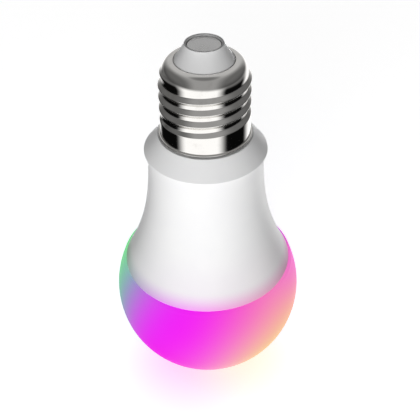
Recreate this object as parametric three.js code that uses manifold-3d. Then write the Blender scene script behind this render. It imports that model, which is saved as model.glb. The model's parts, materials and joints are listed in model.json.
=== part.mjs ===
// A smart light bulb, A60 envelope on an E27 screw cap, in millimetres.
// +Z is up, the cap is at the top, and the origin is the centre of the cap's end, in the plane of
// the rim round the contact.
import * as THREE from "three";
import { mergeVertices } from "three/addons/utils/BufferGeometryUtils.js";
import Module from "manifold-3d";

// Envelope
const overallLength = 119; // the cap's end to the dome's pole
const domeRadius = 30;
const domeRise = 12.7; // the dome's edge above the dome's centre
const domeWall = 1.4;
const domeLedge = 1.4; // the dome's edge, turned in to carry its spigot
const domeLip = 0.48; // the dome stands proud of the housing by this at the seam
const domeEdgeRound = 0.5;
const neckRadius = 17.3;
const flareExponent = 2.4; // the body widens with this power of the way from neck to seam

// Screw cap
const contactRadius = 4.6;
const contactThickness = 1.2;
const contactRecess = 0.6; // the contact's face lies this far inside the insulator's rim
const contactLip = 0.2; // the contact's edge turns up by this
const contactLipWidth = 0.5;
const contactGap = 0.25; // between the contact's edge and its pocket
const stemRadius = 1.2;
const stemEnd = -4.5;
const tipRimRadius = 5.4;
const tipBaseRadius = 8.4;
const tipBaseDrop = 4.8;
const tipFlareExponent = 1.2;
const tipFlangeDrop = 6.5;
const tipFlangeHeight = 2;
const tipBore = 1.5;
const threadCrest = 13.1;
const threadDepth = 1.05;
const threadPitch = 3.629;
const threadPhase = -14.02; // height of a crest on the +X side
const crestFlat = 0.15; // half the width of the crest, from which the flanks fall at 45 degrees
const flankBlend = 0.14; // the flanks' ends are rounded over this share of the depth
const shoulderDrop = 8.8;
const threadStart = [-8, -9.2]; // crests grow from nothing to full between these heights
const threadEnd = [-22.2, -19.9]; // grooves grow from nothing to full between these heights
const threadFoot = -23.3;
const shellWall = 0.4;
const shellEnd = -28;
const shellFlare = 0.5; // the skirt's foot turns outwards by this

// Housing
const housingWall = 1.6;
const spigotTop = -11;
const spigotGap = 0.45; // between the spigot and the thread's inner root
const spigotWall = 1.6;
const collarTop = -28.5;
const collarTopRadius = 13.9;
const collarRadius = 18.2;
const collarEdge = -34;
const collarEdgeHeight = 0.25;
const neckTop = -34.4;
const seatLedge = -36; // the cup and the sleeve butt against the housing here
const rimDepth = 2.8; // depth of the bore that takes the dome
const rimWall = 1;

// Inside
const cupWall = 1.2;
const ledgeWidth = 5;
const ledgeThickness = 1.5;
const ledgeAboveSeam = 4.3; // the ledge's lower face above the seam
const padThickness = 0.3;
const ledBoardThickness = 1.2;
const sleeveWall = 1;
const sleeveFoot = 1;
const boardThickness = 1;
const wirelessThickness = 0.8;
const wirelessWidth = 12;
const wirelessY = 3; // middle of the wireless board's thickness
const antennaReach = 10.4; // the wireless board reaches this far past the LED board
const headerPins = 4;
const headerPitch = 2.5;
const pinSize = 0.64;
const headerDepth = 2.5;
const screwHeadRadius = 2.2;
const screwHeadHeight = 1.4;
const screwRadius = 1.2;
const screwCount = 3;
const whiteLed = { count: 8, length: 3.5, width: 2.8, height: 0.7 };
const colourLed = { count: 4, length: 5, width: 5, height: 1.5 };
const leadRadius = 0.5;

// Clearances
const fit = 0.3; // between a piece and what it slides into
const seat = 0.05; // between faces that rest on each other
const roundSegments = 32;

// Heights and radii that follow from the values above
const domeCentre = domeRadius - overallLength;
const seam = domeCentre + domeRise;
const domeEdgeRadius = Math.sqrt(domeRadius ** 2 - (domeRise - seat) ** 2);
const seamRadius = domeEdgeRadius - domeLip;
const rimTop = seam + rimDepth;
const ledgeBottom = seam + ledgeAboveSeam;
const ledgeTop = ledgeBottom + ledgeThickness;
const ledBoardTop = ledgeBottom - padThickness - 2 * seat;
const ledBoardBottom = ledBoardTop - ledBoardThickness;
const threadRoot = threadCrest - threadDepth;
const shellLip = tipBaseRadius + fit;
const spigotRadius = threadRoot - shellWall - spigotGap;
const spigotBore = spigotRadius - spigotWall;
const bodyRadius = (z) =>
  neckRadius + (seamRadius - neckRadius) * Math.max(0, (z - neckTop) / (seam - neckTop)) ** flareExponent;
const housingInside = (z) => bodyRadius(z) - housingWall;
const cupOutside = (z) => housingInside(z) - fit;
const cupInside = (z) => cupOutside(z) - cupWall;
const rimBore = bodyRadius(rimTop) - rimWall;
const ledBoardRadius = cupOutside(ledgeBottom);
const ledgeInside = cupInside(ledgeTop) - ledgeWidth;
const screwCircle = ledgeInside + ledgeWidth / 2;
const sleeveOutside = cupInside(seatLedge) - fit;
const sleeveInside = sleeveOutside - sleeveWall;
const neckBoardHalf = spigotBore - 0.7;
const bodyBoardHalf = sleeveInside - 2 * fit;
const whiteRing = screwCircle - screwHeadRadius - whiteLed.width / 2 - fit;
const colourRing = whiteRing - whiteLed.width / 2 - colourLed.width / 2 - fit;

const wasm = await Module();
wasm.setup();

// Materials
const finish = (color, roughness, metalness = 0) =>
  new THREE.MeshStandardMaterial({ color, roughness, metalness });
const nickel = finish(0xc9c7c2, 0.18, 1);
const whitePlastic = finish(0xf3f3f3, 0.4);
const tipPlastic = finish(0xd5d5d5, 0.45);
const diffuser = finish(0xe84af0, 0.35);
const bareAluminium = finish(0xb9bcc0, 0.4, 1);
const clearPlastic = finish(0xe9e6dc, 0.5);
const blackPlastic = finish(0x1c1c1e, 0.5);
const greenBoard = finish(0x1f5a34, 0.5);
const whiteBoard = finish(0xf4f4f0, 0.5);
const blueBoard = finish(0x16325e, 0.5);
const phosphor = finish(0xf0d95a, 0.5);
const clearLed = finish(0xe8e8ea, 0.3);
const silicone = finish(0xdcdcdc, 0.7);
const steel = finish(0xa5a7aa, 0.35, 1);
const tin = finish(0xc2c3c5, 0.4, 1);
const goldPin = finish(0xd2a24a, 0.3, 1);
const ferrite = finish(0x35332f, 0.7);
const copperCoil = finish(0xb5652c, 0.4, 1);
const capSleeve = finish(0x23283a, 0.4);
const filmCase = finish(0xc8a22a, 0.5);
const varistorCoat = finish(0x2f5fa8, 0.6);
const resistorCoat = finish(0x5f8f86, 0.6);
const redWire = finish(0xb02a22, 0.5);
const blackWire = finish(0x202022, 0.5);

const bulb = new THREE.Group();

function place(name, geometry, material, x = 0, y = 0, z = 0, turn = 0) {
  const mesh = new THREE.Mesh(geometry, material);
  mesh.name = name;
  mesh.position.set(x, y, z);
  mesh.rotation.z = turn;
  bulb.add(mesh);
}

// A solid of revolution about Z. The [r, z] outline goes anticlockwise round its area, and it
// either starts and ends on the axis or is closed here.
function revolve(outline, segments = roundSegments) {
  const loop = outline[0][0] === 0 ? outline : [...outline, outline[0]];
  const points = loop.map(([r, z]) => new THREE.Vector2(r, z));
  return new THREE.LatheGeometry(points, segments).rotateX(Math.PI / 2);
}

// Points at equal steps of height from one height to another, with the radius given by a rule.
function sweep(from, to, steps, radiusAt) {
  return Array.from({ length: steps + 1 }, (_, i) => {
    const z = from + ((to - from) * i) / steps;
    return [radiusAt(z), z];
  });
}

// Points on an arc or ellipse quarter about [r, z], by angle in degrees from the +r direction.
function arc(r, z, radiusR, radiusZ, fromDegrees, toDegrees, steps) {
  return Array.from({ length: steps + 1 }, (_, i) => {
    const a = THREE.MathUtils.degToRad(fromDegrees + ((toDegrees - fromDegrees) * i) / steps);
    return [r + radiusR * Math.cos(a), z + radiusZ * Math.sin(a)];
  });
}

const block = (x, y, z) => new THREE.BoxGeometry(x, y, z);
const rodZ = (radius, length, segments = 20) =>
  new THREE.CylinderGeometry(radius, radius, length, segments).rotateX(Math.PI / 2);
const rodY = (radius, length, segments = 20) => new THREE.CylinderGeometry(radius, radius, length, segments);

// Booleans
function toSolid(geometry) {
  const bare = geometry.clone();
  bare.deleteAttribute("normal");
  bare.deleteAttribute("uv");
  const merged = mergeVertices(bare, 1e-4);
  return new wasm.Manifold(
    new wasm.Mesh({
      numProp: 3,
      vertProperties: merged.attributes.position.array,
      triVerts: new Uint32Array(merged.index.array),
    }),
  );
}

function toGeometry(solid) {
  const mesh = solid.getMesh();
  const geometry = new THREE.BufferGeometry();
  geometry.setAttribute("position", new THREE.BufferAttribute(mesh.vertProperties, 3));
  geometry.setIndex(new THREE.BufferAttribute(mesh.triVerts, 1));
  return geometry.toNonIndexed();
}

const joined = (base, ...others) =>
  toGeometry(others.reduce((solid, other) => solid.add(toSolid(other)), toSolid(base)));
const cut = (base, ...tools) =>
  toGeometry(tools.reduce((solid, tool) => solid.subtract(toSolid(tool)), toSolid(base)));

// A flat piece in the XY plane, extruded up from z = 0.
const slab = (shape, thickness, curveSegments = roundSegments / 2) =>
  new THREE.ExtrudeGeometry(shape, { depth: thickness, bevelEnabled: false, curveSegments });

function discShape(radius, inner = 0) {
  const shape = new THREE.Shape().absarc(0, 0, radius, 0, 2 * Math.PI, false);
  if (inner > 0) shape.holes.push(new THREE.Path().absarc(0, 0, inner, 0, 2 * Math.PI, true));
  return shape;
}

function rectangleHole(x0, x1, y0, y1) {
  return new THREE.Path().moveTo(x0, y0).lineTo(x0, y1).lineTo(x1, y1).lineTo(x1, y0).closePath();
}

const ringAngles = (count, first) => Array.from({ length: count }, (_, i) => first + (2 * Math.PI * i) / count);
const screwAngles = ringAngles(screwCount, Math.PI / 2);
const screwPlaces = screwAngles.map((a) => [screwCircle * Math.cos(a), screwCircle * Math.sin(a)]);
const screwHoles = () =>
  screwPlaces.map(([x, y]) => new THREE.Path().absarc(x, y, screwRadius + fit, 0, 2 * Math.PI, true));

// Cap: contact, insulator and screw shell
function centreContact() {
  const back = -contactRecess - contactThickness;
  return revolve([
    [0, stemEnd],
    [stemRadius, stemEnd],
    [stemRadius, back],
    [contactRadius, back],
    [contactRadius, contactLip - contactRecess],
    [contactRadius - contactLipWidth, -contactRecess],
    [0, -contactRecess],
  ]);
}

function tipInsulator() {
  const flangeBottom = -tipFlangeDrop - tipFlangeHeight;
  const flangeRadius = threadRoot - shellWall - 1.15;
  const pocket = contactRadius + contactGap;
  const pocketFloor = -contactRecess - contactThickness - seat;
  const flare = (z) =>
    tipRimRadius + (tipBaseRadius - tipRimRadius) * Math.max(0, -z / tipBaseDrop) ** tipFlareExponent;
  return revolve([
    [tipBore, flangeBottom],
    [flangeRadius, flangeBottom],
    [flangeRadius, -tipFlangeDrop],
    [tipBaseRadius, -tipFlangeDrop],
    ...sweep(-tipBaseDrop, 0, 5, flare),
    [pocket, 0],
    [pocket, pocketFloor],
    [tipBore, pocketFloor],
  ]);
}

const smooth = (from, to, value) => THREE.MathUtils.smoothstep((value - from) / (to - from), 0, 1);

// The integral of a ramp that climbs from 0 to 1 between 0 and 1.
const rampSum = (x) => (x < 1 ? Math.max(0, x) ** 2 / 2 : x - 0.5);

// How far the thread stands out of its root, 0 to 1, at a height and an angle about the axis.
// Crests climb one pitch a turn, right-handed, and the flanks are ramps averaged over a short
// stretch. The first crest rises out of the shoulder, and the last groove runs out into the skirt.
function threadHeight(z, angle) {
  const turns = (z - threadPhase) / threadPitch - angle / (2 * Math.PI);
  const crest = z + (Math.round(turns) - turns) * threadPitch;
  const groove = z + (Math.floor(turns) + 0.5 - turns) * threadPitch;
  const down = (Math.abs(crest - z) - crestFlat) / threadDepth;
  const wave = 1 - (rampSum(down + flankBlend) - rampSum(down - flankBlend)) / (2 * flankBlend);
  const sunk = (1 - wave) * smooth(...threadEnd, groove);
  return (1 - sunk) * smooth(...threadStart, crest);
}

function screwShell() {
  const rise = shoulderDrop - tipBaseDrop;
  const run = threadRoot - shellLip;
  const threadSteps = 20;
  const flareFoot = [threadCrest + shellFlare, shellEnd];
  const outline = [
    [threadCrest - shellWall, shellEnd],
    flareFoot,
    [threadCrest + shellFlare, shellEnd + shellWall],
    [threadCrest, shellEnd + shellWall + shellFlare],
    ...sweep(threadFoot, -shoulderDrop, threadSteps, () => threadRoot),
    ...arc(shellLip, -shoulderDrop, run, rise, 0, 90, 6).slice(1),
    ...arc(shellLip, -shoulderDrop, run - shellWall, rise - shellWall, 90, 0, 6),
    ...sweep(-shoulderDrop, threadFoot, threadSteps, () => threadRoot - shellWall).slice(1),
  ];
  const geometry = revolve(outline);
  const position = geometry.attributes.position;
  for (let i = 0; i < position.count; i++) {
    const [x, y, z] = [position.getX(i), position.getY(i), position.getZ(i)];
    if (z < threadFoot - 1e-4) continue;
    const out = threadDepth * threadHeight(z, Math.atan2(y, x));
    const grow = 1 + out / Math.hypot(x, y);
    position.setXY(i, x * grow, y * grow);
  }
  return geometry;
}

place("centre_contact", centreContact(), nickel);
place("tip_insulator", tipInsulator(), tipPlastic);
place("screw_shell", screwShell(), nickel);

// Housing: spigot for the shell, collar, flared body, and a rim that takes the dome
function housing() {
  const ledgeRadius = sleeveInside + fit;
  const slope = 1.9;
  return revolve([
    [spigotBore, collarTop - slope],
    [spigotBore, spigotTop],
    [spigotRadius, spigotTop],
    [spigotRadius, collarTop],
    [collarTopRadius, collarTop],
    [collarRadius, collarEdge + collarEdgeHeight],
    [collarRadius, collarEdge],
    [collarRadius - collarEdgeHeight, collarEdge - collarEdgeHeight],
    ...sweep(neckTop, seam, 10, bodyRadius),
    [rimBore, seam],
    [rimBore, rimTop],
    ...sweep(rimTop, seatLedge, 7, housingInside),
    [ledgeRadius, seatLedge],
    [ledgeRadius, collarTop - 2 * slope],
  ].reverse());
}

function heatSinkCup() {
  const top = seatLedge - seat;
  const cup = revolve([
    [ledgeInside, ledgeBottom],
    ...sweep(ledgeBottom, top, 7, cupOutside),
    ...sweep(top, ledgeTop, 7, cupInside),
    [ledgeInside, ledgeTop],
  ]);
  const drills = screwPlaces.map(([x, y]) =>
    rodZ(screwRadius + fit, 4 * ledgeThickness, 12).translate(x, y, ledgeBottom),
  );
  return cut(cup, ...drills);
}

// The sleeve keeps the driver off the aluminium, and its two rails hold the board's edges.
function driverSleeve() {
  const top = seatLedge - seat;
  const foot = ledgeTop + seat;
  const length = top - foot;
  const railReach = bodyBoardHalf - 1.2;
  const tube = revolve([
    [sleeveInside, foot],
    [cupInside(foot + sleeveFoot) - fit, foot],
    [cupInside(foot + sleeveFoot) - fit, foot + sleeveFoot],
    [sleeveOutside, foot + sleeveFoot],
    [sleeveOutside, top],
    [sleeveInside, top],
  ]);
  const rails = [-1, 1].map((side) => {
    const width = sleeveInside + sleeveWall / 2 - railReach;
    return block(width, 2.6, length).translate(side * (railReach + width / 2), 0, foot + length / 2);
  });
  const slots = block(2 * (bodyBoardHalf + fit), boardThickness + 2 * fit, length + 2);
  return cut(joined(tube, ...rails), slots.translate(0, 0, foot + length / 2));
}

place("housing", housing(), whitePlastic);
place("heat_sink_cup", heatSinkCup(), bareAluminium);
place("driver_sleeve", driverSleeve(), clearPlastic);

// Diffuser dome and the bead that bonds it
const domeSpigotOutside = rimBore - fit;
const domeSpigotInside = ledBoardRadius + fit;
const domeSpigotTop = rimTop - 0.9;

function diffuserDome() {
  const inner = domeRadius - domeWall;
  const edge = seam - seat;
  const outerStart = THREE.MathUtils.radToDeg(Math.asin((domeRise - 2 * domeEdgeRound) / domeRadius));
  const innerStart = THREE.MathUtils.radToDeg(Math.asin((domeRise - seat - domeLedge) / inner));
  const edgeRadius = domeEdgeRadius - domeLip;
  const bulge = domeRadius * Math.cos(THREE.MathUtils.degToRad(outerStart)) - edgeRadius;
  const edgeDrop = domeRise - seat - domeRadius * Math.sin(THREE.MathUtils.degToRad(outerStart));
  return revolve([
    ...arc(0, domeCentre, domeRadius, domeRadius, -90, outerStart, 11),
    ...arc(edgeRadius, edge - edgeDrop, bulge, edgeDrop, 0, 90, 3).slice(1),
    [domeSpigotOutside, edge],
    [domeSpigotOutside, domeSpigotTop],
    [domeSpigotInside, domeSpigotTop],
    [domeSpigotInside, edge - domeLedge],
    ...arc(0, domeCentre, inner, inner, innerStart, -90, 9),
  ].map(([r, z]) => [Math.abs(r) < 1e-9 ? 0 : r, z]));
}

const domeBond = revolve([
  [domeSpigotInside, domeSpigotTop + seat],
  [domeSpigotOutside, domeSpigotTop + seat],
  [domeSpigotOutside, rimTop - seat],
  [domeSpigotInside, rimTop - seat],
]);

place("diffuser_dome", diffuserDome(), diffuser);
place("dome_bond", domeBond, silicone);

// LED board, its pad, screws and LEDs
const headerWidth = headerPins * headerPitch;
const headerY = -(boardThickness / 2 + fit + headerDepth / 2);

function ledBoard() {
  const shape = discShape(ledBoardRadius);
  const halfSlot = wirelessWidth / 2 + fit;
  const slotDepth = wirelessThickness / 2 + fit;
  shape.holes.push(
    ...screwHoles(),
    rectangleHole(-halfSlot, halfSlot, wirelessY - slotDepth, wirelessY + slotDepth),
    rectangleHole(-headerWidth / 2, headerWidth / 2, headerY - pinSize, headerY + pinSize),
  );
  return slab(shape, ledBoardThickness);
}

function thermalPad() {
  const shape = discShape(ledBoardRadius - cupWall - fit, ledgeInside + fit);
  shape.holes.push(...screwHoles());
  return slab(shape, padThickness);
}

function boardScrew() {
  const reach = ledgeTop - ledBoardBottom - fit;
  const screw = revolve(
    [
      [0, -screwHeadHeight],
      [screwHeadRadius * 0.6, -screwHeadHeight],
      [screwHeadRadius, -screwHeadHeight * 0.45],
      [screwHeadRadius, 0],
      [screwRadius, 0],
      [screwRadius, reach],
      [0, reach],
    ],
    12,
  );
  const recess = [block(2.2, 0.5, screwHeadHeight), block(0.5, 2.2, screwHeadHeight)];
  return cut(screw, ...recess.map((tool) => tool.translate(0, 0, -screwHeadHeight)));
}

place("led_board", ledBoard(), whiteBoard, 0, 0, ledBoardBottom);
place("thermal_pad", thermalPad(), silicone, 0, 0, ledBoardTop + seat);
screwPlaces.forEach(([x, y], i) =>
  place("board_screw_" + (i + 1), boardScrew(), steel, x, y, ledBoardBottom - seat),
);

function ledRing(name, led, radius, first, material) {
  ringAngles(led.count, first).forEach((angle, i) => {
    const [x, y] = [radius * Math.cos(angle), radius * Math.sin(angle)];
    const z = ledBoardBottom - seat - led.height / 2;
    place(name + (i + 1), block(led.width, led.length, led.height), material, x, y, z, angle);
  });
}

ledRing("white_led_", whiteLed, whiteRing, Math.PI / 8, phosphor);
ledRing("colour_led_", colourLed, colourRing, Math.PI / 4, clearLed);

// Driver board: narrow inside the cap, wide inside the sleeve
const driverTop = -13;
const driverStep = seatLedge - 1;
const driverBottom = ledgeTop + 2.5;

function driverBoard() {
  const shape = new THREE.Shape()
    .moveTo(-neckBoardHalf, driverTop)
    .lineTo(-neckBoardHalf, driverStep)
    .lineTo(-bodyBoardHalf, driverStep)
    .lineTo(-bodyBoardHalf, driverBottom)
    .lineTo(bodyBoardHalf, driverBottom)
    .lineTo(bodyBoardHalf, driverStep)
    .lineTo(neckBoardHalf, driverStep)
    .lineTo(neckBoardHalf, driverTop)
    .closePath();
  return slab(shape, boardThickness).rotateX(Math.PI / 2).translate(0, boardThickness / 2, 0);
}

place("driver_board", driverBoard(), greenBoard);

// A part soldered on a face of the driver board: side is 1 for +Y and -1 for -Y.
const onBoard = (side, height) => side * (boardThickness / 2 + seat + height / 2);

function boardBlock(name, side, material, size, x, z) {
  place(name, block(...size), material, x, onBoard(side, size[1]), z);
}

function boardRod(name, side, material, radius, length, x, top, segments = 20) {
  place(name, rodZ(radius, length, segments), material, x, onBoard(side, 2 * radius), top - length / 2);
}

boardBlock("bridge_rectifier", 1, blackPlastic, [5, 1.8, 5], neckBoardHalf - 4.9, -18.5);
boardRod("fuse_resistor", 1, resistorCoat, 1.6, 9, -(neckBoardHalf - 3.4), -16, 14);
boardRod("input_choke", 1, ferrite, 2.5, 6.5, neckBoardHalf - 4.4, -23.5, 16);
boardBlock("film_capacitor", -1, filmCase, [9, 4, 6], 0, -27);
place("surge_varistor", rodY(3.5, 3), varistorCoat, 0, onBoard(-1, 3), -18);
boardRod("mains_capacitor", 1, capSleeve, 4, 14, bodyBoardHalf - 5.8, driverStep - 1.5);
boardRod("output_capacitor", 1, capSleeve, 3.15, 11, -(bodyBoardHalf - 5.3), driverStep - 1.5);
boardBlock("freewheel_diode", -1, blackPlastic, [4.3, 2.2, 2.6], -(neckBoardHalf - 2.9), driverStep + 3);
boardBlock("driver_chip", -1, blackPlastic, [5, 1.5, 4], -(bodyBoardHalf - 5), driverBottom + 8);
boardBlock("led_control_chip", -1, blackPlastic, [5, 1.5, 4], bodyBoardHalf - 5, driverBottom + 8);

// Wound drum core: two flanges with the winding's outer face between them
function powerInductor() {
  const [flange, core, height] = [5, 4.3, 7.5];
  return revolve(
    [
      [0, 0],
      [flange, 0],
      [flange, 1.2],
      [core, 1.2],
      [core, height - 1.2],
      [flange, height - 1.2],
      [flange, height],
      [0, height],
    ],
    20,
  ).rotateX(Math.PI / 2);
}

place("power_inductor", powerInductor(), copperCoil, 0, -(boardThickness / 2 + seat), driverStep - 7.5);

// Wireless board: it stands beside the driver board and passes through the LED board's slot
const wirelessBottom = ledBoardBottom - antennaReach;
const wirelessTop = ledgeTop + 11;
const wirelessFace = wirelessY + wirelessThickness / 2 + seat;
const wirelessMiddle = ledgeTop + 6;
const canSize = { x: 11, y: 1.8, z: 9, wall: 0.2 };

function shieldCan() {
  const inside = block(canSize.x - 2 * canSize.wall, canSize.y, canSize.z - 2 * canSize.wall);
  return cut(block(canSize.x, canSize.y, canSize.z), inside.translate(0, -canSize.wall, 0));
}

const wirelessLength = wirelessTop - wirelessBottom;
const wirelessCentre = (wirelessTop + wirelessBottom) / 2;
place("wireless_board", block(wirelessWidth, wirelessThickness, wirelessLength), blueBoard, 0, wirelessY, wirelessCentre);
place("shield_can", shieldCan(), tin, 0, wirelessFace + canSize.y / 2, wirelessMiddle);
place("wireless_chip", block(5, 0.9, 5), blackPlastic, -2, wirelessFace + 0.45, wirelessMiddle);
place("clock_crystal", block(2.5, 0.7, 2), tin, 3.2, wirelessFace + 0.35, wirelessMiddle);

const stubDepth = wirelessY - wirelessThickness / 2 - boardThickness / 2 - 2 * seat;
const stubY = boardThickness / 2 + seat + stubDepth / 2;
place("module_header", block(10, stubDepth, 2.5), blackPlastic, 0, stubY, wirelessTop - 2);

// Header that feeds the LED board, with its pins
const headerBottom = ledBoardTop + seat;
const headerTop = driverBottom + 3.5;
const pinPlaces = Array.from({ length: headerPins }, (_, i) => (i - (headerPins - 1) / 2) * headerPitch);
const pinTop = headerTop - 1;
const pinBottom = ledBoardBottom - 0.8;

function ledHeader() {
  const height = headerTop - headerBottom;
  const body = block(headerWidth, headerDepth, height);
  const hole = pinSize + 2 * fit;
  const holes = pinPlaces.map((x) => block(hole, hole, height + 2).translate(x, 0, 0));
  return cut(body, ...holes);
}

place("led_header", ledHeader(), blackPlastic, 0, headerY, (headerTop + headerBottom) / 2);
pinPlaces.forEach((x, i) =>
  place("header_pin_" + (i + 1), block(pinSize, pinSize, pinTop - pinBottom), goldPin, x, headerY, (pinTop + pinBottom) / 2),
);

// Leads from the driver board to the contact and to the shell
function lead(points) {
  const path = new THREE.CatmullRomCurve3(points.map((p) => new THREE.Vector3(...p)));
  const section = new THREE.Shape().absarc(0, 0, leadRadius, 0, 2 * Math.PI, false);
  return new THREE.ExtrudeGeometry(section, { steps: 16, curveSegments: 4, extrudePath: path });
}

const leadY = boardThickness / 2 + fit + leadRadius;
const neutralX = -(neckBoardHalf - 2.9);
const neutralEnd = threadRoot - shellWall - 2 * fit - leadRadius / 2;
const neutralHeight = spigotTop + leadRadius + fit;
place(
  "live_lead",
  lead([
    [neckBoardHalf - 6.4, leadY, driverTop - 2],
    [neckBoardHalf - 6.4, leadY, driverTop + 1.5],
    [0.5, 0.4, -8.6],
    [0, 0, stemEnd - fit],
  ]),
  redWire,
);
place(
  "neutral_lead",
  lead([
    [neutralX, leadY, driverTop - 2],
    [neutralX, leadY, driverTop],
    [neutralX - 0.6, leadY, driverTop + 2.2],
    [-spigotBore + 0.6, leadY / 2, neutralHeight + 0.2],
    [-neutralEnd, 0, neutralHeight],
  ]),
  blackWire,
);

export default bulb;
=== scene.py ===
# A smart light bulb with its dome lit in colour, hanging just over a pale floor.
# Lengths in the dictionaries are millimetres; the scene is in metres.
import json
import math
import bpy
import numpy as np
from mathutils import Matrix, Vector


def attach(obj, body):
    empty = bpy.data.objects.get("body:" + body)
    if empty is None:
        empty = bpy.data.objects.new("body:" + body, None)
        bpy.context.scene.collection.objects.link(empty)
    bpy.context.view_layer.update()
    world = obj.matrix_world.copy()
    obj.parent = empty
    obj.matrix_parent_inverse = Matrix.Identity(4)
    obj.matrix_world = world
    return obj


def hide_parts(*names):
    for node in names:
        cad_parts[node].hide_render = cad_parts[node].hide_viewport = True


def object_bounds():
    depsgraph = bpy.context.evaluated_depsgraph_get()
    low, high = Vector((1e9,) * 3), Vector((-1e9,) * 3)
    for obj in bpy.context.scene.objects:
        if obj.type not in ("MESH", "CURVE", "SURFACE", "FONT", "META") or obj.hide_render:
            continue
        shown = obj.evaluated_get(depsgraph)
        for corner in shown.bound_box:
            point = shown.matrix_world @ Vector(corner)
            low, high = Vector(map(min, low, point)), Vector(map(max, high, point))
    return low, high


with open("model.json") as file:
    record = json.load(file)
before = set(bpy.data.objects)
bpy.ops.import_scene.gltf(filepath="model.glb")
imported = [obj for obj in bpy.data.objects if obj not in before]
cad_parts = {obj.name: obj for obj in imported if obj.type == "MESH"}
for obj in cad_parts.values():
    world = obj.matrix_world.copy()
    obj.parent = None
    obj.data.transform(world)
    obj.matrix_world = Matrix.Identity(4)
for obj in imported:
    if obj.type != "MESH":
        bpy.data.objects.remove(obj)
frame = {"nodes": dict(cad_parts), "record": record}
cadLow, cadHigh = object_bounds()
nodes = frame["nodes"]
mm = 0.001
print("frame loaded with", len(nodes), "nodes")

view = dict(back=188.6, height=99.08, pitch=39.82, pan=0.239, roll=-0.908, lens=66.96, sensor=36)


def makeCamera():
    camera = bpy.data.objects.new("camera", bpy.data.cameras.new("camera"))
    bpy.context.scene.collection.objects.link(camera)
    camera.data.lens = view["lens"]
    camera.data.sensor_width = view["sensor"]
    camera.data.clip_start = 0.01
    camera.data.clip_end = 20
    tilt = Matrix.Rotation(math.radians(90 - view["pitch"]), 4, "X")
    pan = Matrix.Rotation(math.radians(-view["pan"]), 4, "Y")
    roll = Matrix.Rotation(math.radians(view["roll"]), 4, "Z")
    place = Matrix.Translation((0, -view["back"] * mm, view["height"] * mm))
    camera.matrix_world = place @ tilt @ pan @ roll
    bpy.context.scene.camera = camera


def linkMesh(name, vertices, faces, smooth=True):
    mesh = bpy.data.meshes.new(name)
    mesh.from_pydata(vertices, [], faces)
    mesh.polygons.foreach_set("use_smooth", [smooth] * len(mesh.polygons))
    mesh.update()
    piece = bpy.data.objects.new(name, mesh)
    bpy.context.scene.collection.objects.link(piece)
    return piece


def grey(level):
    return (level, level, level, 1.0)


class Nodes:
    # Short ways to add nodes to a tree: each returns the output socket that is used next.
    def __init__(self, tree):
        self.tree = tree

    def add(self, kind, **values):
        node = self.tree.nodes.new(kind)
        for key, value in values.items():
            setattr(node, key, value)
        return node

    def feed(self, socket, value):
        if isinstance(value, bpy.types.NodeSocket):
            self.tree.links.new(value, socket)
        else:
            socket.default_value = value

    def math(self, operation, *values):
        node = self.add("ShaderNodeMath", operation=operation)
        for socket, value in zip(node.inputs, values):
            self.feed(socket, value)
        return node.outputs[0]

    def vector(self, operation, *values):
        node = self.add("ShaderNodeVectorMath", operation=operation)
        for socket, value in zip(node.inputs, values):
            self.feed(socket, value)
        return node.outputs["Value" if operation == "DOT_PRODUCT" else "Vector"]

    def scaled(self, vector, factor):
        node = self.add("ShaderNodeVectorMath", operation="SCALE")
        self.feed(node.inputs[0], vector)
        self.feed(node.inputs["Scale"], factor)
        return node.outputs["Vector"]

    def band(self, value, low, high, toLow=0.0, toHigh=1.0):
        # A smooth step from toLow to toHigh as the value goes from low to high.
        node = self.add("ShaderNodeMapRange", interpolation_type="SMOOTHSTEP")
        for key, number in (("Value", value), ("From Min", low), ("From Max", high),
                            ("To Min", toLow), ("To Max", toHigh)):
            self.feed(node.inputs[key], number)
        return node.outputs["Result"]

    def mix(self, factor, first, second):
        node = self.add("ShaderNodeMix", data_type="RGBA")
        self.feed(node.inputs["Factor"], factor)
        self.feed(node.inputs[6], first)
        self.feed(node.inputs[7], second)
        return node.outputs[2]

    def noise(self, vector, scale, detail=3.0, roughness=0.5):
        node = self.add("ShaderNodeTexNoise")
        self.feed(node.inputs["Vector"], vector)
        self.feed(node.inputs["Scale"], scale)
        self.feed(node.inputs["Detail"], detail)
        self.feed(node.inputs["Roughness"], roughness)
        return node.outputs["Fac"]

    def parts(self, vector):
        node = self.add("ShaderNodeSeparateXYZ")
        self.feed(node.inputs[0], vector)
        return node.outputs

    def outward(self, place):
        # The distance out from the z axis: the root of x squared plus y squared.
        x, y = self.parts(place)[:2]
        squares = self.math("ADD", self.math("MULTIPLY", x, x), self.math("MULTIPLY", y, y))
        return self.math("SQRT", squares)

    def objectPlace(self):
        return self.add("ShaderNodeTexCoord").outputs["Object"]


# What shiny surfaces see: bright below the horizon apart from a dark flag at each side, and above
# it a grey that dims to the sides and overhead. Flags are in degrees round from the front, and
# their edges soften as they rise. Matt surfaces see a plain grey, with a bright patch low down
# behind the bulb that lights its edges. The other pairs are where a change starts and ends,
# along an axis of the unit vector that points there.
studio = dict(below=1.25, flag=0.003, leftFlag=(-153, -64), rightFlag=(42, 124), edge=(15, 26),
              edgeRise=(-0.40, 0.3), flagTop=(-0.38, 0.45), horizon=(-0.30, 0.05), front=0.37,
              behind=0.56, backReach=(-0.3, 0.6), sides=0.15, sideReach=(0.35, 0.8), overhead=0.20,
              dimming=(0.90, 0.99), backdrop=1.0)
matt = dict(sky=0.28, sides=0.56, sideReach=(0.3, 0.9), top=0.08, topReach=(0.1, 0.8),
            rim=20.0, rimAim=(0.17, 0.76, -0.63), rimReach=(0.72, 0.94))


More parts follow.
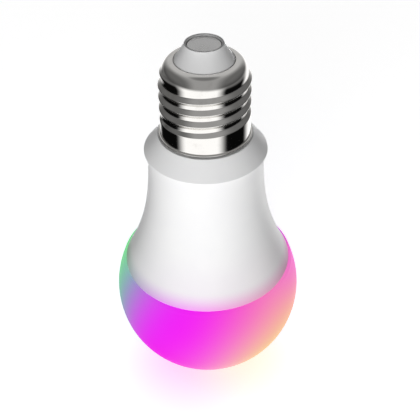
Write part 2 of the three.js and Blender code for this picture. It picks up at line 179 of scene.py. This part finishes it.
def makeWorld():
    s, m = studio, matt
    world = bpy.data.worlds.new("studio")
    bpy.context.scene.world = world
    world.use_nodes = True
    world.node_tree.nodes.clear()
    n = Nodes(world.node_tree)
    way = n.add("ShaderNodeTexCoord").outputs["Generated"]
    x, y, z = n.parts(way)
    sideways = n.math("ABSOLUTE", x)
    around = n.math("DEGREES", n.math("ARCTAN2", x, n.math("MULTIPLY", y, -1.0)))
    edge = n.band(z, *s["edgeRise"], *s["edge"])

    def flag(start, end):
        rise = n.band(around, n.math("SUBTRACT", start, edge), n.math("ADD", start, edge))
        fall = n.band(around, n.math("SUBTRACT", end, edge), n.math("ADD", end, edge), 1.0, 0.0)
        return n.math("MULTIPLY", rise, fall)

    flags = n.math("MAXIMUM", flag(*s["leftFlag"]), flag(*s["rightFlag"]))
    flags = n.math("MULTIPLY", flags, n.band(z, *s["flagTop"], 1.0, 0.0))
    level = n.mix(n.band(y, *s["backReach"]), grey(s["front"]), grey(s["behind"]))
    level = n.mix(n.band(sideways, *s["sideReach"]), level, grey(s["sides"]))
    level = n.mix(n.band(z, *s["dimming"]), level, grey(s["overhead"]))
    level = n.mix(n.band(z, *s["horizon"]), grey(s["below"]), level)
    shine = n.mix(flags, level, grey(s["flag"]))
    soft = n.mix(n.band(sideways, *m["sideReach"]), grey(m["sky"]), grey(m["sides"]))
    soft = n.mix(n.band(z, *m["topReach"]), soft, grey(m["top"]))
    facing = n.vector("DOT_PRODUCT", way, m["rimAim"])
    soft = n.mix(n.band(facing, *m["rimReach"]), soft, grey(m["rim"]))
    path = n.add("ShaderNodeLightPath")
    plain = n.mix(path.outputs["Is Camera Ray"], soft, grey(s["backdrop"]))
    light = n.add("ShaderNodeBackground")
    n.feed(light.inputs["Color"], n.mix(path.outputs["Is Glossy Ray"], plain, shine))
    n.feed(n.add("ShaderNodeOutputWorld").inputs["Surface"], light.outputs[0])


key = dict(size=330, side=-90, distance=620, height=-70, power=4.75)
# The floor glows from below too. The glow is turned down under the bulb as a painted shadow, where the
# dome's own light falls on it.
floor = dict(gap=3, reach=3000, colour=0.86, unevenness=1.02, clouds=6.0, roughness=0.9, glow=0.82,
             shade=0.46, paintedShadowReach=(8, 40))


def makeStage():
    z = cadLow.z - floor["gap"] * mm
    r = floor["reach"] * mm
    corners = [(-r, -r, z), (r, -r, z), (r, r, z), (-r, r, z)]
    ground = linkMesh("floor", corners, [(0, 1, 2, 3)], False)
    ground.visible_glossy = False
    ground.visible_diffuse = False
    material = bpy.data.materials.new("paleFloor")
    material.use_nodes = True
    n = Nodes(material.node_tree)
    shader = material.node_tree.nodes["Principled BSDF"]
    place = n.objectPlace()
    cloud = n.noise(place, floor["clouds"])
    out = n.outward(place)
    near, far = (reach * mm for reach in floor["paintedShadowReach"])
    # painted shadow: the floor's glow drops to the shade level near the bulb's axis
    lit = n.band(out, near, far, floor["shade"], 1.0)
    pale, paler = grey(floor["colour"]), grey(floor["colour"] * floor["unevenness"])
    n.feed(shader.inputs["Base Color"], n.mix(cloud, pale, paler))
    shader.inputs["Roughness"].default_value = floor["roughness"]
    shader.inputs["Specular IOR Level"].default_value = 0.0
    n.feed(shader.inputs["Emission Color"], lit)
    shader.inputs["Emission Strength"].default_value = floor["glow"]
    ground.data.materials.append(material)
    lamp = bpy.data.lights.new("key", "AREA")
    lamp.shape = "SQUARE"
    lamp.size = key["size"] * mm
    lamp.energy = key["power"]
    front = bpy.data.objects.new("key", lamp)
    bpy.context.scene.collection.objects.link(front)
    front.location = (key["side"] * mm, -key["distance"] * mm, key["height"] * mm)
    aim = Vector((0, 0, cadLow.z / 2)) - front.location
    front.rotation_euler = aim.to_track_quat("-Z", "Y").to_euler()
    front.visible_camera = False
    front.visible_glossy = False
    bpy.context.scene.view_settings.view_transform = "Standard"


makeCamera()
makeWorld()
makeStage()
print("camera, surroundings and floor made")


def rounded(corners, steps=6):
    # Each corner (r, z, radius) becomes a circular arc that touches both of its sides, taken as a
    # turn from the start to the end of the arc about its centre. A corner with no radius stays.
    corners = np.asarray(corners, float)
    here, radius = corners[:, :2], corners[:, 2:]
    before = np.roll(here, 1, 0) - here
    after = np.roll(here, -1, 0) - here
    before /= np.linalg.norm(before, axis=1, keepdims=True)
    after /= np.linalg.norm(after, axis=1, keepdims=True)
    half = np.arccos(np.clip((before * after).sum(1, keepdims=True), -1, 1)) / 2
    middle = before + after
    middle /= np.maximum(np.linalg.norm(middle, axis=1, keepdims=True), 1e-9)
    centre = here + middle * radius / np.sin(half)
    start = (here + before * radius / np.tan(half) - centre)[:, None]
    end = (here + after * radius / np.tan(half) - centre)[:, None]
    turn = np.pi - 2 * half[:, None]
    t = np.linspace(0, 1, steps + 1)[None, :, None]
    arcs = np.sin((1 - t) * turn) * start + np.sin(t * turn) * end
    arcs = centre[:, None] + arcs / np.maximum(np.sin(turn), 1e-9)
    bent = radius > 0
    points = np.where(bent[:, None], arcs, here[:, None])
    return points[bent | (np.arange(steps + 1) == 0)]


def evenly(points, spacing, closed=True):
    # Long straight stretches are split so that no step is longer than the spacing.
    ends = np.roll(points, -1, 0) if closed else points[1:]
    starts = points if closed else points[:-1]
    counts = np.maximum(1, np.ceil(np.linalg.norm(ends - starts, axis=1) / spacing)).astype(int)
    which = np.repeat(np.arange(len(counts)), counts)
    first = np.concatenate([[0], np.cumsum(counts)[:-1]])
    t = ((np.arange(len(which)) - first[which]) / counts[which])[:, None]
    made = starts[which] * (1 - t) + ends[which] * t
    return made if closed else np.vstack([made, points[-1:]])


def sharp(radii, heights):
    # Corners with no rounding, for a stretch of outline that is already a curve.
    heights = np.atleast_1d(heights)
    return np.column_stack([np.broadcast_to(radii, heights.shape), heights, 0 * heights])


def ellipseArc(r, z, radiusR, radiusZ, start, end, steps):
    # r + radiusR cos a, z + radiusZ sin a, with a from start to end in degrees.
    a = np.radians(np.linspace(start, end, steps + 1))
    return np.stack([r + radiusR * np.cos(a), z + radiusZ * np.sin(a)], 1)


def spin(name, outline, around, swell=None, closed=True):
    # x = r cos a, y = r sin a, z = h over a grid of outline points and angles a. An open outline
    # starts and ends on the axis. swell(height, angle) is added to the radius.
    angle = np.linspace(0, 2 * math.pi, around, endpoint=False)
    r = np.repeat(outline[:, :1], around, 1)
    h = np.repeat(outline[:, 1:], around, 1)
    if swell is not None:
        r = r + swell(h, np.broadcast_to(angle, r.shape))
    grid = np.stack([r * np.cos(angle), r * np.sin(angle), h], 2) * mm
    rows = len(outline)
    if closed:
        index = np.arange(rows * around).reshape(rows, around)
        above = np.roll(index, -1, 0)
        quads = np.stack([index, np.roll(index, -1, 1), np.roll(above, -1, 1), above], 2)
        return linkMesh(name, grid.reshape(-1, 3), quads.reshape(-1, 4).tolist())
    # the first and the last row are single points on the axis, each with a ring of triangles
    vertices = np.vstack([grid[0, :1], grid[1:-1].reshape(-1, 3), grid[-1, :1]])
    index = 1 + np.arange((rows - 2) * around).reshape(rows - 2, around)
    below, above = index[:-1], index[1:]
    quads = np.stack([below, np.roll(below, -1, 1), np.roll(above, -1, 1), above], 2)
    foot = np.stack([0 * index[0], np.roll(index[0], -1), index[0]], 1)
    head = np.stack([index[-1], np.roll(index[-1], -1), 0 * index[-1] + len(vertices) - 1], 1)
    return linkMesh(name, vertices, quads.reshape(-1, 4).tolist() + foot.tolist() + head.tolist())


def standIn(piece, node, material):
    piece.data.materials.append(material)
    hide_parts(node)
    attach(piece, "root")
    return piece


def makeGroup(name, inputs, outputs, build):
    group = bpy.data.node_groups.new(name, "ShaderNodeTree")
    group.interface.new_socket("Place", in_out="INPUT", socket_type="NodeSocketVector")
    for label, value in inputs.items():
        socket = group.interface.new_socket(label, in_out="INPUT", socket_type="NodeSocketFloat")
        socket.default_value = value
    for label, kind in outputs.items():
        group.interface.new_socket(label, in_out="OUTPUT", socket_type=kind)
    n = Nodes(group)
    source = n.add("NodeGroupInput")
    sink = n.add("NodeGroupOutput")
    for label, value in build(n, source.outputs).items():
        n.feed(sink.inputs[label], value)
    return group


grain = dict(detail=2.0, slower=0.04, fineShare=0.35, slowShare=0.65, tone=(0.3, 0.7))
marks = dict(detail=4.0, roughness=0.6, patch=(0.45, 0.7), finer=9.0, streakRoughness=0.7)
rings = dict(detail=2.0, roughness=0.6)


def buildGrain(n, given):
    # Fine moulded grain on top of a slower unevenness.
    fine = n.noise(given["Place"], given["Scale"], grain["detail"])
    slow = n.noise(given["Place"], n.math("MULTIPLY", given["Scale"], grain["slower"]), grain["detail"])
    fineShare = n.math("MULTIPLY", fine, grain["fineShare"])
    slowShare = n.math("MULTIPLY", slow, grain["slowShare"])
    return {"Height": n.math("ADD", fineShare, slowShare), "Tone": n.band(slow, *grain["tone"])}


def buildMarks(n, given):
    # Handling marks: soft patches with finer streaks inside them.
    patch = n.noise(given["Place"], given["Scale"], marks["detail"], marks["roughness"])
    finer = n.math("MULTIPLY", given["Scale"], marks["finer"])
    streak = n.noise(given["Place"], finer, roughness=marks["streakRoughness"])
    return {"Mask": n.math("MULTIPLY", n.band(patch, *marks["patch"]), streak)}


def buildRings(n, given):
    # Faint turned rings: noise read along the axis and outwards only.
    along = n.add("ShaderNodeCombineXYZ")
    n.feed(along.inputs["X"], n.outward(given["Place"]))
    n.feed(along.inputs["Z"], n.parts(given["Place"])[2])
    return {"Height": n.noise(along.outputs[0], given["Scale"], rings["detail"], rings["roughness"])}


def startMaterial(name):
    material = bpy.data.materials.new(name)
    material.use_nodes = True
    return material, Nodes(material.node_tree), material.node_tree.nodes["Principled BSDF"]


def useGroup(n, group, place, scale=None):
    node = n.add("ShaderNodeGroup", node_tree=group)
    n.feed(node.inputs["Place"], place)
    if scale is not None:
        n.feed(node.inputs["Scale"], scale)
    return node.outputs


def bump(n, shader, height, strength, distance):
    node = n.add("ShaderNodeBump")
    node.inputs["Strength"].default_value = strength
    node.inputs["Distance"].default_value = distance * mm
    n.feed(node.inputs["Height"], height)
    n.feed(shader.inputs["Normal"], node.outputs[0])


plastic = dict(marks=70.0, worn=0.8, polish=0.08, bumpDepth=0.03)
metal = dict(marks=110.0, worn=0.7, dulling=0.10, bumpDepth=0.01)


def plasticFinish(name, colour, shade, roughness, scale, strength, specular=0.4):
    material, n, shader = startMaterial(name)
    p = plastic
    place = n.objectPlace()
    texture = useGroup(n, grainGroup, place, scale)
    mask = useGroup(n, marksGroup, place, p["marks"])["Mask"]
    n.feed(shader.inputs["Base Color"], n.mix(texture["Tone"], shade, colour))
    handled = n.band(mask, 0.0, p["worn"], roughness, roughness - p["polish"])
    n.feed(shader.inputs["Roughness"], handled)
    shader.inputs["Specular IOR Level"].default_value = specular
    bump(n, shader, texture["Height"], strength, p["bumpDepth"])
    return material


def metalFinish(name, colour, shade, roughness, scale, strength):
    material, n, shader = startMaterial(name)
    m = metal
    place = n.objectPlace()
    lines = useGroup(n, ringGroup, place, scale)["Height"]
    mask = useGroup(n, marksGroup, place, m["marks"])["Mask"]
    n.feed(shader.inputs["Base Color"], n.mix(n.band(mask, 0.0, m["worn"]), colour, shade))
    dulled = n.band(mask, 0.0, m["worn"], roughness, roughness + m["dulling"])
    n.feed(shader.inputs["Roughness"], dulled)
    shader.inputs["Metallic"].default_value = 1.0
    bump(n, shader, lines, strength, m["bumpDepth"])
    return material


contact = dict(radius=4.6, thickness=1.2, recess=0.6, lip=0.08, lipTop=0.12, lipWidth=0.3,
               stemRadius=1.2, stemEnd=-4.5)


def makeContact(material):
    c = contact
    back = -c["recess"] - c["thickness"]
    outline = rounded([
        (0, c["stemEnd"], 0),
        (c["stemRadius"], c["stemEnd"], 0.3),
        (c["stemRadius"], back, 0.2),
        (c["radius"], back, 0.2),
        (c["radius"], c["lip"] - c["recess"], 0.03),
        (c["radius"] - c["lipTop"], c["lip"] - c["recess"], 0.03),
        (c["radius"] - c["lipWidth"], -c["recess"], 0.3),
        (0, -c["recess"], 0),
    ])
    piece = spin("contactDisc", evenly(outline, 0.25, False), 128, closed=False)
    return standIn(piece, "centre_contact", material)


insulator = dict(rimRadius=5.4, rimRound=0.12, pocketRadius=4.85, pocketFloor=-1.85, baseRadius=8.4,
                 baseDrop=4.8, flareExponent=1.2, flangeRadius=10.5, flangeDrop=6.5, flangeHeight=2,
                 bore=1.5)


def makeInsulator(material):
    # The cone's radius goes from the rim's to the base's with a power of the way down. The curve
    # stops short of both ends, to leave room for their rounded corners.
    c = insulator
    way = np.linspace(0.97, 0.05, 24)
    cone = c["rimRadius"] + (c["baseRadius"] - c["rimRadius"]) * way ** c["flareExponent"]
    flangeFoot = -c["flangeDrop"] - c["flangeHeight"]
    outline = rounded(np.vstack([
        (c["bore"], flangeFoot, 0.15),
        (c["flangeRadius"], flangeFoot, 0.3),
        (c["flangeRadius"], -c["flangeDrop"], 0.3),
        (c["baseRadius"], -c["flangeDrop"], 0.2),
        (c["baseRadius"], -c["baseDrop"], 0.1),
        sharp(cone, -way * c["baseDrop"]),
        (c["rimRadius"], 0, c["rimRound"]),
        (c["pocketRadius"], 0, c["rimRound"]),
        (c["pocketRadius"], c["pocketFloor"], 0.1),
        (c["bore"], c["pocketFloor"], 0.1),
    ]))
    piece = spin("tipInsulator", evenly(outline, 0.3), 160)
    return standIn(piece, "tip_insulator", material)


thread = dict(crest=13.1, depth=1.05, pitch=3.629, phase=-14.02, crestFlat=0.15, blend=0.14, wall=0.4,
              start=(-8, -9.2), end=(-22.2, -19.9), shoulder=-8.8, top=-4.8, foot=-23.3, skirtEnd=-28,
              lip=8.7, flare=0.5)


def smoothStep(low, high, value):
    t = np.clip((value - low) / (high - low), 0, 1)
    return t * t * (3 - 2 * t)


def rampSum(x):
    # the integral of a ramp that climbs from 0 to 1 between 0 and 1
    return np.where(x < 1, np.maximum(x, 0) ** 2 / 2, x - 0.5)


def threadSwell(height, angle):
    # Crests climb one pitch a turn, right-handed. Each side of a crest is a ramp at 45 degrees,
    # averaged over a short stretch, which rounds its ends. The first crest rises out of the
    # shoulder, and the last groove runs out into the skirt.
    t = thread
    turns = (height - t["phase"]) / t["pitch"] - angle / (2 * math.pi)
    crest = height + (np.round(turns) - turns) * t["pitch"]
    groove = height + (np.floor(turns) + 0.5 - turns) * t["pitch"]
    down = (np.abs(crest - height) - t["crestFlat"]) / t["depth"]
    wave = 1 - (rampSum(down + t["blend"]) - rampSum(down - t["blend"])) / (2 * t["blend"])
    sunk = (1 - wave) * smoothStep(*t["end"], groove)
    return t["depth"] * (1 - sunk) * smoothStep(*t["start"], crest)


def makeShell(material):
    # The outline is drawn on the thread's root, and the swell brings crests and skirt out to size.
    t = thread
    root = t["crest"] - t["depth"]
    run, rise = root - t["lip"], t["top"] - t["shoulder"]
    half = t["wall"] / 2
    skirtTop = t["foot"] - 0.1
    heights = np.linspace(t["foot"], t["shoulder"], 180)
    outside = sharp(root, heights)[:, :2]
    shoulder = ellipseArc(t["lip"], t["shoulder"], run, rise, 0, 90, 30)[1:]
    lip = ellipseArc(t["lip"], t["top"] - half, half, half, 90, 270, 8)[1:-1]
    under = ellipseArc(t["lip"], t["shoulder"], run - t["wall"], rise - t["wall"], 90, 0, 24)
    inside = sharp(root - t["wall"], heights[::-1])[1:, :2]
    skirt = rounded([
        (root - t["wall"], skirtTop, 0),
        (root - t["wall"], t["skirtEnd"], 0.12),
        (root + t["flare"], t["skirtEnd"], 0.19),
        (root + t["flare"], t["skirtEnd"] + t["wall"], 0.19),
        (root, t["skirtEnd"] + t["wall"], 0.22),
        (root, skirtTop, 0),
    ])
    outline = evenly(np.vstack([skirt, outside, shoulder, lip, under, inside]), 0.35)
    piece = spin("screwShell", outline, 240, threadSwell)
    return standIn(piece, "screw_shell", material)


# tint and spill are painted light from the dome: how much pool colour is mixed into the housing's colour,
# over heights above the seam.
body = dict(spigotRadius=11.2, spigotBore=9.6, spigotTop=-11, boreStep=(1.9, 3.8), collarTop=-28.5,
            collarTopRadius=13.9, collarRadius=18.2, collarEdge=-34, collarLand=0.3, undercut=0.25,
            neckTop=-34.4, neckRadius=17.3, seamRadius=26.7, seam=-76.3, exponent=2.4, wall=1.6,
            rimWall=1.0, rimDepth=2.8, ledge=-36, ledgeRadius=13.2, tint=0.05, paintedTintReach=(0, 20),
            spill=0.76, paintedSpillReach=(-2.5, 5.5))


def bodyRadius(z):
    b = body
    way = np.clip((z - b["neckTop"]) / (b["seam"] - b["neckTop"]), 0, None)
    return b["neckRadius"] + (b["seamRadius"] - b["neckRadius"]) * way ** b["exponent"]


def makeHousing(material):
    # The body widens with a power of the way from the neck to the seam. Both curves stop short of
    # the corners that are rounded.
    b = body
    rimTop = b["seam"] + b["rimDepth"]
    rimBore = bodyRadius(rimTop) - b["rimWall"]
    stepTop, stepFoot = b["boreStep"]
    outer = np.linspace(b["seam"] + 0.6, b["neckTop"] - 1.2, 70)
    inner = np.linspace(b["ledge"] - 0.4, rimTop, 50)
    outline = rounded(np.vstack([
        (rimBore, b["seam"], 0.2),
        (b["seamRadius"], b["seam"], 0.3),
        sharp(bodyRadius(outer), outer),
        (b["neckRadius"], b["neckTop"], 0.35),
        (b["collarRadius"] - b["undercut"], b["collarEdge"] - b["undercut"], 0.1),
        (b["collarRadius"], b["collarEdge"], 0.2),
        (b["collarRadius"], b["collarEdge"] + b["collarLand"], 0.2),
        (b["collarTopRadius"], b["collarTop"], 0.25),
        (b["spigotRadius"], b["collarTop"], 0.2),
        (b["spigotRadius"], b["spigotTop"], 0.3),
        (b["spigotBore"], b["spigotTop"], 0.3),
        (b["spigotBore"], b["collarTop"] - stepTop, 0.4),
        (b["ledgeRadius"], b["collarTop"] - stepFoot, 0.4),
        (b["ledgeRadius"], b["ledge"], 0.2),
        sharp(bodyRadius(inner) - b["wall"], inner),
        (rimBore, rimTop, 0),
    ]))
    piece = spin("housingShell", evenly(outline, 0.6), 224)
    return standIn(piece, "housing", material)


dome = dict(radius=30, centre=-89, wall=1.4, rise=12.7, edge=-76.35, edgeRadius=26.7, edgeRound=0.5,
            ledge=1.4, spigotOutside=23.88, spigotInside=23.06, spigotTop=-74.4)
# Pools of colour on the dome: degrees round from the front, degrees up, colour, weight.
pools = [
    (-96, 25, (0.233, 0.838, 0.257), 1.20),
    (-62, 23, (0.171, 0.146, 0.592), 0.63),
    (-22, 8, (0.923, 0.0, 1.0), 1.52),
    (-6, -25, (0.931, 0.004, 0.710), 1.17),
    (19, 3, (0.923, 0.019, 0.568), 0.83),
    (33, -25, (0.928, 0.832, 0.207), 1.33),
    (52, -12, (0.920, 0.374, 0.325), 0.56),
    (80, 42, (0.893, 0.170, 0.601), 0.99),
    (140, 0, (0.450, 0.040, 0.950), 1.0),
    (-150, 0, (0.040, 0.500, 0.900), 1.0),
]
glow = dict(sharpness=8.0, strength=0.96, reflect=0.04, roughness=0.5, sheen=0.04, specular=0.04)


def buildPools(n, given):
    # Each pool's share falls off with the angle from its middle, seen from the dome's centre, and
    # the shares are made to sum to 1.
    way = n.vector("NORMALIZE", n.vector("SUBTRACT", given["Place"], (0, 0, dome["centre"] * mm)))
    colour, total = (0, 0, 0), 0.0
    for around, up, tint, weight in pools:
        a, e = math.radians(around), math.radians(up)
        aim = (math.sin(a) * math.cos(e), -math.cos(a) * math.cos(e), math.sin(e))
        facing = n.math("SUBTRACT", n.vector("DOT_PRODUCT", way, aim), 1.0)
        share = n.math("EXPONENT", n.math("MULTIPLY", facing, given["Sharpness"]))
        share = n.math("MULTIPLY", share, weight)
        colour = n.vector("ADD", colour, n.scaled(tint, share))
        total = n.math("ADD", total, share)
    return {"Colour": n.scaled(colour, n.math("DIVIDE", 1.0, total))}


def makeDome(material):
    # Part of a sphere outside and inside, joined by the rounded edge, the spigot and its ledge.
    d = dome
    start = math.asin((d["rise"] - 2 * d["edgeRound"]) / d["radius"])
    outer = ellipseArc(0, d["centre"], d["radius"], d["radius"], -90, math.degrees(start), 110)
    inside = d["radius"] - d["wall"]
    foot = d["edge"] - d["ledge"]
    meet = math.asin((foot - d["centre"]) / inside)
    inner = ellipseArc(0, d["centre"], inside, inside, math.degrees(meet), -90, 90)
    shoulderR = outer[-1, 0] - d["edgeRadius"]
    shoulderZ = d["edge"] - outer[-1, 1]
    shoulder = ellipseArc(d["edgeRadius"], outer[-1, 1], shoulderR, shoulderZ, 0, 90, 12)[1:]
    ring = rounded([(d["edgeRadius"], d["edge"], 0), (d["spigotOutside"], d["edge"], 0.15),
                    (d["spigotOutside"], d["spigotTop"], 0.15), (d["spigotInside"], d["spigotTop"], 0.15),
                    (d["spigotInside"], foot, 0.15), (inner[0, 0], foot, 0)])[1:-1]
    outer[0, 0] = inner[-1, 0] = 0
    outline = np.vstack([outer, shoulder, evenly(ring, 0.4, False), inner])
    piece = spin("diffuserDome", outline, 224, closed=False)
    return standIn(piece, "diffuser_dome", material)


def domeFinish():
    material, n, shader = startMaterial("litDiffuser")
    place = n.objectPlace()
    lit = useGroup(n, poolGroup, place)["Colour"]
    texture = useGroup(n, grainGroup, place, 2200.0)
    n.feed(shader.inputs["Emission Color"], lit)
    shader.inputs["Emission Strength"].default_value = glow["strength"]
    n.feed(shader.inputs["Base Color"], n.scaled(lit, glow["reflect"]))
    rough = glow["roughness"]
    n.feed(shader.inputs["Roughness"], n.band(texture["Tone"], 0.0, 1.0, rough - glow["sheen"], rough))
    shader.inputs["Specular IOR Level"].default_value = glow["specular"]
    bump(n, shader, texture["Height"], 0.15, 0.02)
    return material


def housingFinish():
    # White plastic with the dome's light painted into its colour just above the seam, as painted spill.
    b = body
    shade = (0.885, 0.885, 0.89, 1)
    material = plasticFinish("whiteHousingPaintedSpill", grey(0.90), shade, 0.40, 2800.0, 0.2, 0.3)
    tree = material.node_tree
    n, shader = Nodes(tree), tree.nodes["Principled BSDF"]
    place = n.objectPlace()
    height = n.parts(place)[2]

    def paintedFading(strength, low, high):
        # From the strength to nothing between two heights above the seam: how much painted light is mixed
        # in.
        return n.band(height, (b["seam"] + low) * mm, (b["seam"] + high) * mm, strength, 0.0)

    # Painted light: the dome's pool colours are mixed into the base colour near the seam, as painted spill
    # with a faint painted tint higher up.
    near = n.math("ADD", paintedFading(b["tint"], *b["paintedTintReach"]), paintedFading(b["spill"], *b["paintedSpillReach"]))
    lit = useGroup(n, poolGroup, place)["Colour"]
    plain = shader.inputs["Base Color"].links[0].from_socket
    n.feed(shader.inputs["Base Color"], n.mix(near, plain, lit))
    return material


value, tone = "NodeSocketFloat", "NodeSocketColor"
grainGroup = makeGroup("mouldedGrain", {"Scale": 3000.0}, {"Height": value, "Tone": value}, buildGrain)
marksGroup = makeGroup("handlingMarks", {"Scale": 90.0}, {"Mask": value}, buildMarks)
ringGroup = makeGroup("turnedRings", {"Scale": 2500.0}, {"Height": value}, buildRings)
poolGroup = makeGroup("colourPools", {"Sharpness": glow["sharpness"]}, {"Colour": tone}, buildPools)

nickelColour, nickelShade = (0.80, 0.785, 0.76, 1), (0.70, 0.68, 0.65, 1)
contactColour, contactShade = (0.62, 0.615, 0.61, 1), (0.58, 0.575, 0.57, 1)
nickel = metalFinish("nickelPlate", nickelColour, nickelShade, 0.08, 2600.0, 0.2)
contactMetal = metalFinish("contactPlate", contactColour, contactShade, 0.22, 3600.0, 0.15)
tipPlastic = plasticFinish("insulatorPlastic", grey(0.75), grey(0.72), 0.42, 3200.0, 0.2, 0.3)
whitePlastic = housingFinish()

makeContact(contactMetal)
makeInsulator(tipPlastic)
makeShell(nickel)
makeHousing(whitePlastic)
makeDome(domeFinish())
print("cap, housing and dome made")


board = dict(folds=6.0, track=(0.2, 0.3), maskRoughness=0.38, trackRoughness=0.5, strength=0.4, depth=0.04)


def boardFinish(name, mask, trace, scale):
    # Solder mask over branching copper: cell edges of a square pattern show as raised tracks.
    material, n, shader = startMaterial(name)
    b = board
    cells = n.add("ShaderNodeTexVoronoi", distance="CHEBYCHEV", feature="F2")
    n.feed(cells.inputs["Vector"], n.objectPlace())
    cells.inputs["Scale"].default_value = scale
    folded = n.math("PINGPONG", n.math("MULTIPLY", cells.outputs["Distance"], b["folds"]), 0.5)
    track = n.band(folded, *b["track"])
    n.feed(shader.inputs["Base Color"], n.mix(track, mask, trace))
    roughness = n.band(track, 0.0, 1.0, b["maskRoughness"], b["trackRoughness"])
    n.feed(shader.inputs["Roughness"], roughness)
    bump(n, shader, track, b["strength"], b["depth"])
    return material


# Each slot's finish: name, colour, darker colour, roughness, scale of the grain or rings, and how
# strongly these show. A board's is its mask, its tracks and the scale of their pattern.
metals = {
    "aluminium": ("drawnAluminium", grey(0.74), grey(0.66), 0.32, 1800.0, 0.6),
    "steel": ("zincSteel", grey(0.62), grey(0.52), 0.30, 2200.0, 0.4),
    "tin": ("tinnedSheet", grey(0.72), grey(0.62), 0.28, 2400.0, 0.3),
    "pin_brass": ("giltPin", (0.83, 0.60, 0.24, 1), (0.70, 0.48, 0.18, 1), 0.25, 2400.0, 0.3),
    "copper_coil": ("enamelledCopper", (0.62, 0.27, 0.11, 1), (0.45, 0.18, 0.07, 1), 0.30, 900.0, 1.0),
}
boards = {
    "white_board": ("whiteSolderMask", grey(0.86), grey(0.74), 260.0),
    "green_board": ("greenSolderMask", (0.012, 0.10, 0.032, 1), (0.03, 0.19, 0.06, 1), 320.0),
    "blue_board": ("blueSolderMask", (0.006, 0.03, 0.13, 1), (0.02, 0.08, 0.24, 1), 420.0),
}
plastics = {
    "liner_plastic": ("linerPlastic", (0.80, 0.78, 0.70, 1), (0.74, 0.72, 0.64, 1), 0.45, 1800.0, 0.3),
    "silicone": ("silicone", grey(0.70), grey(0.64), 0.65, 1500.0, 0.5),
    "black_plastic": ("blackMoulding", grey(0.018), grey(0.012), 0.48, 2600.0, 0.5),
    "phosphor": ("phosphorGel", (0.86, 0.66, 0.08, 1), (0.80, 0.58, 0.06, 1), 0.35, 4200.0, 0.4),
    "clear_led": ("ledFrame", grey(0.82), grey(0.76), 0.25, 3000.0, 0.3),
    "ferrite": ("ferrite", grey(0.035), grey(0.025), 0.6, 2200.0, 0.8),
    "capacitor_sleeve": ("shrinkSleeve", (0.012, 0.02, 0.05, 1), (0.008, 0.014, 0.04, 1), 0.3, 900.0, 0.3),
    "film_case": ("filmCase", (0.60, 0.38, 0.03, 1), (0.54, 0.33, 0.02, 1), 0.4, 2400.0, 0.3),
    "varistor_coat": ("varistorCoat", (0.02, 0.09, 0.36, 1), (0.015, 0.07, 0.30, 1), 0.5, 1400.0, 0.9),
    "resistor_coat": ("resistorCoat", (0.12, 0.28, 0.24, 1), (0.10, 0.24, 0.20, 1), 0.6, 2000.0, 0.9),
    "red_wire": ("redWire", (0.42, 0.015, 0.01, 1), (0.36, 0.012, 0.008, 1), 0.4, 2400.0, 0.3),
    "black_wire": ("blackWire", grey(0.02), grey(0.015), 0.4, 2400.0, 0.3),
}
slotMaterials = {"nickel": nickel, "tip_plastic": tipPlastic, "white_plastic": whitePlastic}
for finish, slots in ((metalFinish, metals), (boardFinish, boards), (plasticFinish, plastics)):
    slotMaterials.update({slot: finish(*values) for slot, values in slots.items()})
slotOf = {part["node"]: part["material_slot"] for part in frame["record"]["subparts"]}
for name, node in nodes.items():
    material = slotMaterials.get(slotOf[name])
    if material is not None:
        node.data.materials.clear()
        node.data.materials.append(material)
print("inner pieces finished")
